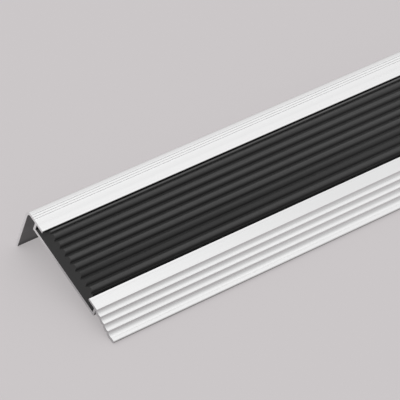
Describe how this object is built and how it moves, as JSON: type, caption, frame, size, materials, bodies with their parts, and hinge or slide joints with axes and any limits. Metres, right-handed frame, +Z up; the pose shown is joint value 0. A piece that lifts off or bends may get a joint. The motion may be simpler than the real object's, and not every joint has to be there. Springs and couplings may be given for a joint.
{
  "type": "stair nosing",
  "caption": "Extruded aluminium stair nosing: a riser leg, bright flats, a scalloped ramp, and a channel that grips a black ribbed anti-slip insert.",
  "frame": {"origin": "on the floor, at the middle of the length and of the depth, with the nosing lying unheld on its leg and nose", "axes": "+X along the length, +Z up, -Y the ramp side, +Y the riser leg's side"},
  "size_m": [1, 0.0684, 0.0239],
  "materials": {
    "aluminium": "satin, extruded and clear anodised",
    "insert": "matt black, extruded"
  },
  "bodies": {
    "root": {"aluminium_profile": "aluminium", "ribbed_insert": "insert"}
  },
  "joints": []
}
